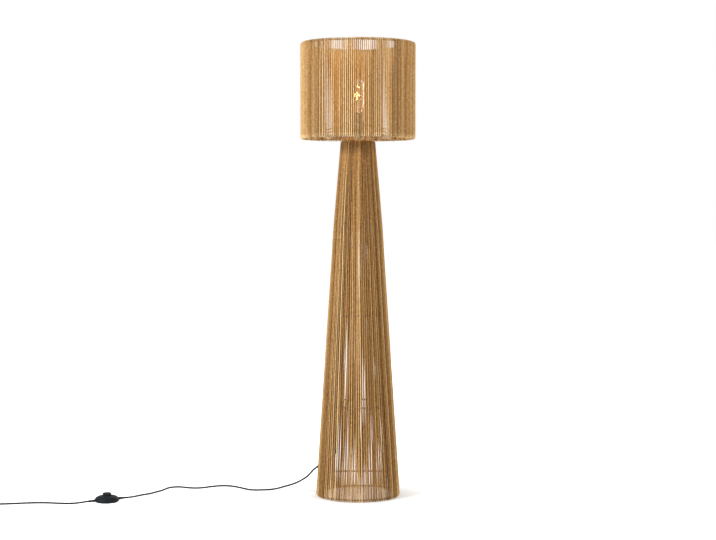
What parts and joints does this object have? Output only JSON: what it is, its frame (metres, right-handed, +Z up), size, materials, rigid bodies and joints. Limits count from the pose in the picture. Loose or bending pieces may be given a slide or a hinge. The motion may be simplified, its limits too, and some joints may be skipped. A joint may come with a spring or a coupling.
{
  "type": "floor lamp",
  "caption": "Floor lamp with a tapered column and a drum shade of twisted cord wound over a wire frame, a filament bulb, and a flex with a foot switch.",
  "frame": {"origin": "middle of the column's foot, on the floor", "axes": "+Z up the column, +X to the right of someone who faces the lamp, +Y to the back; the flex leaves the column at -X"},
  "size_m": [1.4583, 0.3621, 1.422],
  "materials": {
    "twisted_cord": "matt, fibrous, twisted",
    "frame_wire": "satin black paint",
    "zinc_steel": "zinc plated",
    "holder_plastic": "dark brown, moulded",
    "plated_brass": "nickel plated",
    "clear_glass": "clear",
    "filament": "glowing wire",
    "black_plastic": "moulded, satin",
    "black_flex": "smooth sheath",
    "black_rubber": "matt",
    "spring_steel": "bright"
  },
  "bodies": {
    "lamp": {"column_winding_1": "twisted_cord", "column_winding_2": "twisted_cord", "column_winding_3": "twisted_cord", "column_winding_4": "twisted_cord", "column_winding_5": "twisted_cord", "column_winding_6": "twisted_cord", "column_winding_7": "twisted_cord", "column_winding_8": "twisted_cord", "shade_winding_1": "twisted_cord", "shade_winding_2": "twisted_cord", "shade_winding_3": "twisted_cord", "shade_winding_4": "twisted_cord", "shade_winding_5": "twisted_cord", "shade_winding_6": "twisted_cord", "shade_winding_7": "twisted_cord", "shade_winding_8": "twisted_cord", "column_bottom_ring": "frame_wire", "column_low_hoop": "frame_wire", "column_middle_hoop": "frame_wire", "column_high_hoop": "frame_wire", "column_top_ring": "frame_wire", "shade_bottom_ring": "frame_wire", "shade_top_ring": "frame_wire", "column_strut_1": "frame_wire", "column_strut_2": "frame_wire", "column_strut_3": "frame_wire", "column_strut_4": "frame_wire", "shade_strut_1": "frame_wire", "shade_strut_2": "frame_wire", "shade_strut_3": "frame_wire", "shade_strut_4": "frame_wire", "lower_cross_bar": "frame_wire", "lampholder_bracket": "frame_wire", "nipple_tube": "zinc_steel", "bracket_nut": "zinc_steel", "lampholder_cap": "holder_plastic", "lampholder_body": "holder_plastic", "lampholder_core": "holder_plastic", "shade_spider": "frame_wire", "shade_clamp_ring": "holder_plastic", "inner_flex": "black_flex", "flex_bush": "black_rubber", "flex_tie": "black_plastic", "switch_base": "black_plastic", "switch_cover": "black_plastic", "switch_spring": "spring_steel", "switch_relief_lamp_side": "black_rubber", "switch_relief_plug_side": "black_rubber", "lamp_lead": "black_flex", "plug_lead": "black_flex", "lead_coil": "black_flex", "coil_tie": "black_plastic", "plug_body": "black_plastic", "plug_pin_1": "plated_brass", "plug_pin_2": "plated_brass"},
    "foot_button": {"switch_button": "black_plastic"},
    "bulb": {"bulb_cap": "plated_brass", "bulb_glass": "clear_glass", "bulb_stem": "clear_glass", "bulb_filament": "filament"}
  },
  "joints": [
    {"name": "switch_press", "type": "slide", "parent": "lamp", "child": "foot_button", "axis": [0, 0, -1], "range_m": [0, 0.004], "stiffness_N_per_m": 600, "springref_m": -0.003, "deforming": ["switch_spring"]},
    {"name": "bulb_out", "type": "slide", "parent": "lamp", "child": "bulb", "axis": [0, 0, 1], "range_m": [0, 0.028]}
  ]
}
